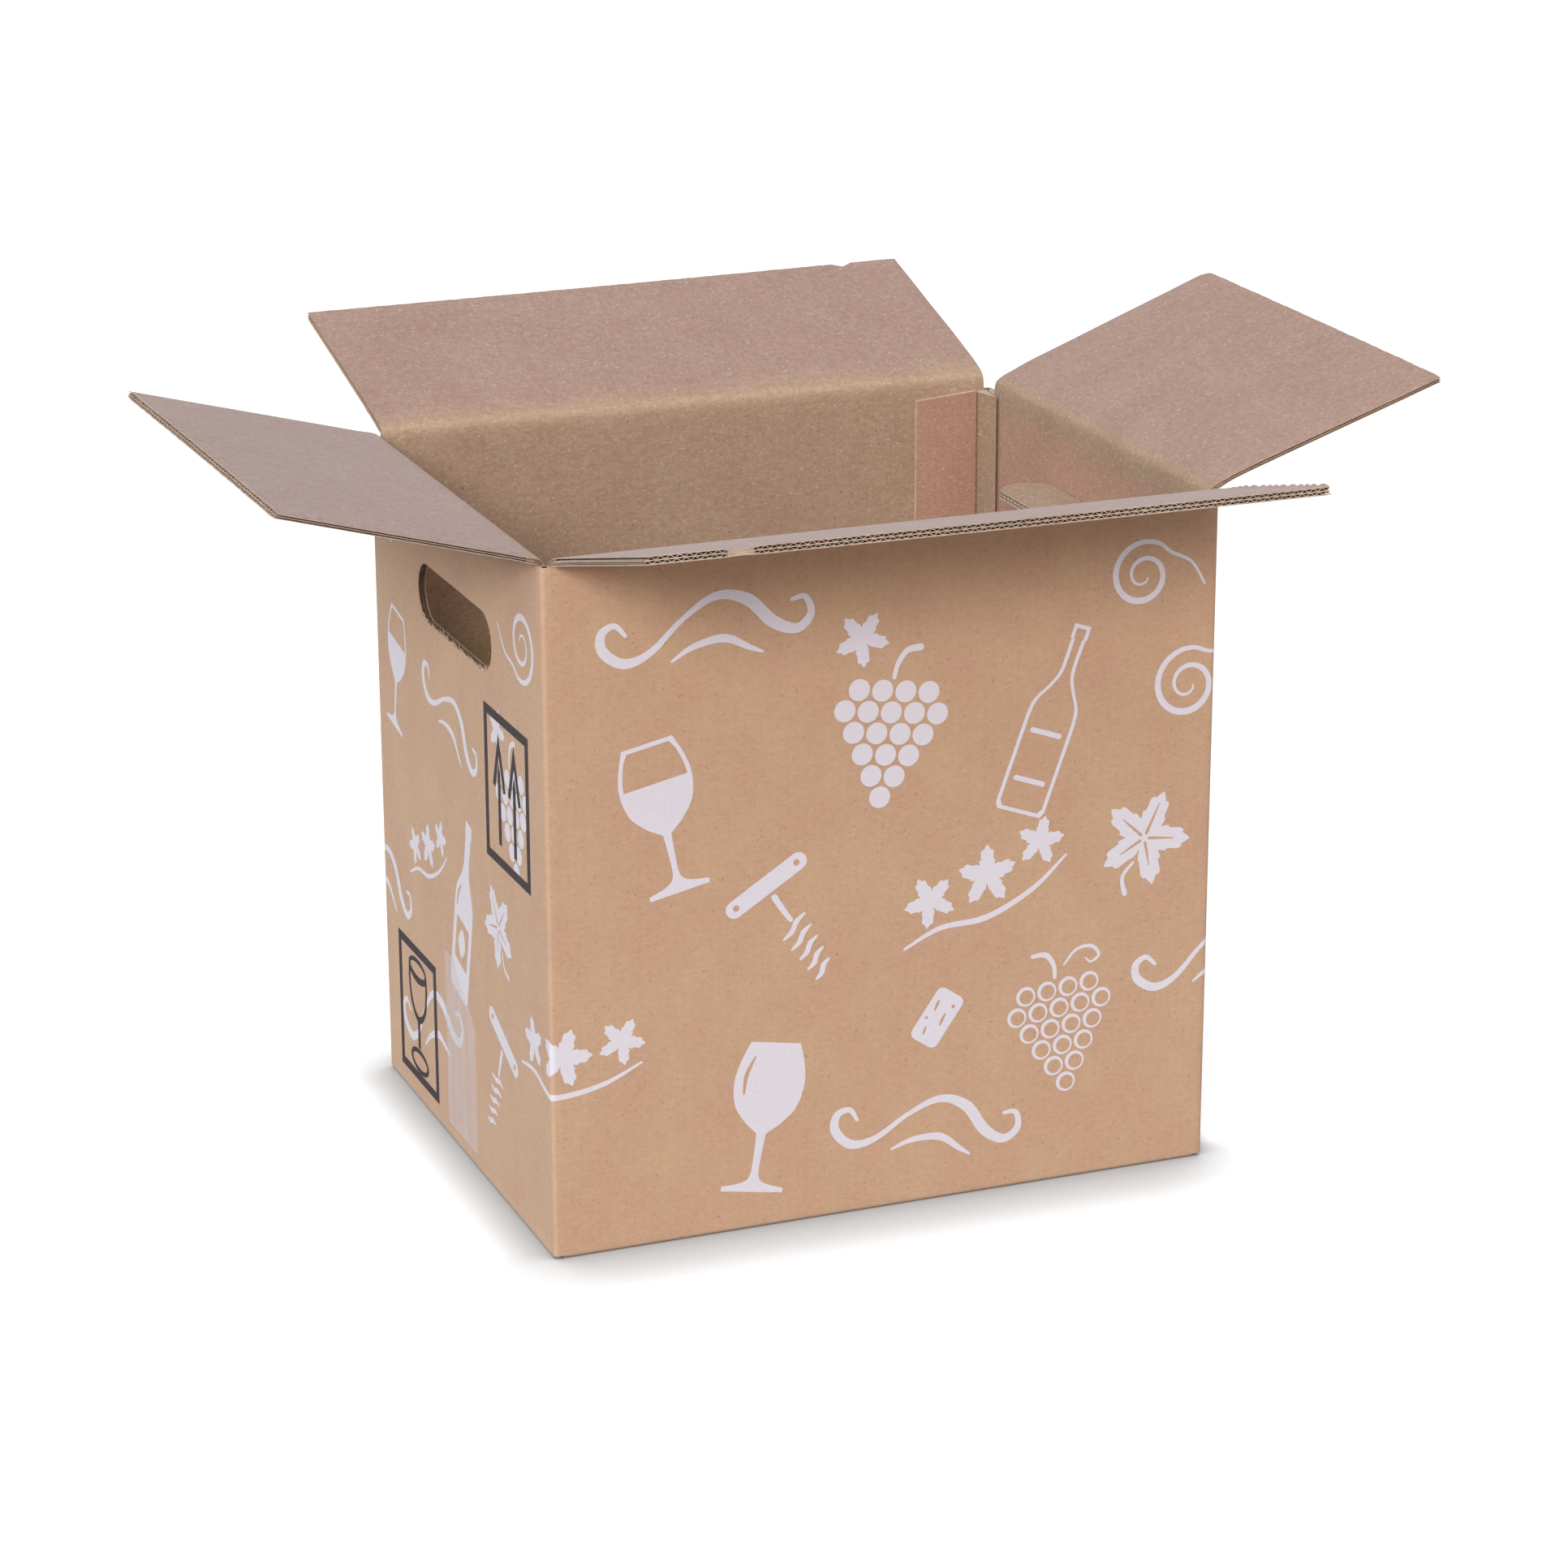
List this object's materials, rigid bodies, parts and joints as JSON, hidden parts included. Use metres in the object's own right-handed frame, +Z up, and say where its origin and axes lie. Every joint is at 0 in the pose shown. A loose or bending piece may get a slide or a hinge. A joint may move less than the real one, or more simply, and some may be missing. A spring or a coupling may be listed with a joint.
{
  "type": "wine shipping box",
  "caption": "Upright slotted carton of double-wall corrugated board with open hinged top flaps, taped bottom and push-in hand holes in its short walls, for shipping wine bottles.",
  "frame": {"origin": "middle of the underside, where the carton stands", "axes": "+Z up, +X along the long walls towards the right short wall, -Y out of the front long wall"},
  "size_m": [0.6177, 0.5457, 0.4088],
  "materials": {
    "kraft_board": "matte brown kraft liner",
    "clear_tape": "clear glossy film"
  },
  "bodies": {
    "carton": {"box_body": "kraft_board", "bottom_tape": "clear_tape"},
    "front_flap": {"front_flap": "kraft_board"},
    "back_flap": {"back_flap": "kraft_board"},
    "left_flap": {"left_flap": "kraft_board"},
    "right_flap": {"right_flap": "kraft_board"},
    "left_tongue": {"left_tongue": "kraft_board"},
    "right_tongue": {"right_tongue": "kraft_board"}
  },
  "joints": [
    {"name": "front_flap_crease", "type": "hinge", "parent": "carton", "child": "front_flap", "pos_m": [0, -0.1417, 0.3645], "axis": [-1, 0, 0], "range_deg": [-92.7, 167.3]},
    {"name": "back_flap_crease", "type": "hinge", "parent": "carton", "child": "back_flap", "pos_m": [0, 0.1417, 0.3645], "axis": [1, 0, 0], "range_deg": [-94.6, 165.4]},
    {"name": "left_flap_crease", "type": "hinge", "parent": "carton", "child": "left_flap", "pos_m": [-0.1802, 0, 0.36], "axis": [0, 1, 0], "range_deg": [-95.6, 164.4]},
    {"name": "right_flap_crease", "type": "hinge", "parent": "carton", "child": "right_flap", "pos_m": [0.1802, 0, 0.36], "axis": [0, -1, 0], "range_deg": [-99.4, 160.6]},
    {"name": "left_tongue_crease", "type": "hinge", "parent": "carton", "child": "left_tongue", "pos_m": [-0.176, 0, 0.313], "axis": [0, -1, 0], "range_deg": [-102, 63]},
    {"name": "right_tongue_crease", "type": "hinge", "parent": "carton", "child": "right_tongue", "pos_m": [0.176, 0, 0.313], "axis": [0, 1, 0], "range_deg": [-102, 63]}
  ]
}
